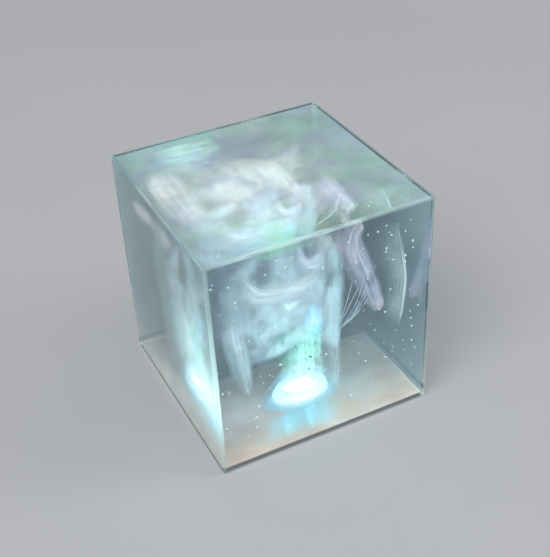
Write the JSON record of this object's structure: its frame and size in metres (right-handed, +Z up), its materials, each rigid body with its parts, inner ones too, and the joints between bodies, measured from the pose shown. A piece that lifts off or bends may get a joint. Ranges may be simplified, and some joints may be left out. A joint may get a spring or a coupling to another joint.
{
  "type": "lit display cube",
  "caption": "Solid block of clear cast acrylic with milky veils inside and a removable battery light in a round recess underneath.",
  "frame": {"origin": "centre of the resting face, on the surface the block stands on", "axes": "+Z up through the block's height, -Y out of the front face, +X to the right of the front"},
  "size_m": [0.1, 0.1, 0.105],
  "materials": {
    "clear_acrylic": "polished clear cast acrylic with a cool tint",
    "milky_resin": "milky translucent resin, pale cyan",
    "lilac_resin": "milky translucent resin, lilac to pink",
    "glow_resin": "milky translucent resin, lit cyan-green",
    "beige_resin": "faint milky resin, warm grey",
    "thread_resin": "bright hair-thin milky threads",
    "opal_acrylic": "opal white, lit from below",
    "white_moulding": "fine satin moulding",
    "silicone": "translucent grey silicone",
    "frosted_window": "frosted clear window",
    "circuit_board": "white solder mask with tinned tracks",
    "emitter_resin": "pale phosphor resin",
    "resistor_black": "black glazed ceramic",
    "sprung_steel": "nickel-plated sprung steel",
    "cell_steel": "nickel-plated can, fine turned grain"
  },
  "bodies": {
    "block": {"clear_block": "clear_acrylic", "opal_disc": "opal_acrylic", "arch_veil": "milky_resin", "left_leg_veil": "milky_resin", "right_column_veil": "milky_resin", "flame_veil": "glow_resin", "left_crest_veil": "milky_resin", "right_crest_veil": "milky_resin", "cloud_veil": "milky_resin", "lilac_swirl_veil": "lilac_resin", "shoulder_veil": "lilac_resin", "ribbon_veil": "lilac_resin", "edge_sheet_veil": "milky_resin", "back_veil": "beige_resin", "thread_veils": "thread_resin"},
    "light_module": {"module_cup": "white_moulding", "module_ring": "silicone", "light_window": "frosted_window", "led_board": "circuit_board", "led_emitters": "emitter_resin", "board_resistors": "resistor_black", "cell_clip": "sprung_steel", "contact_spring": "sprung_steel"},
    "cap_carriage": {"cap_seal": "silicone", "coin_cell": "cell_steel"},
    "battery_cap": {"battery_cap": "white_moulding"}
  },
  "joints": [
    {"name": "module_pull", "type": "slide", "parent": "block", "child": "light_module", "axis": [0, 0, -1], "range_m": [0, 0.012]},
    {"name": "cap_out", "type": "slide", "parent": "light_module", "child": "cap_carriage", "axis": [0, 0, -1], "range_m": [0, 0.0024]},
    {"name": "cap_twist", "type": "hinge", "parent": "cap_carriage", "child": "battery_cap", "pos_m": [0, 0, 0.0017], "axis": [0, 0, -1], "range_deg": [0, 725]}
  ],
  "couplings": [
    {"joint": "cap_twist", "follows": "cap_out", "rad_per_m": 5236}
  ]
}
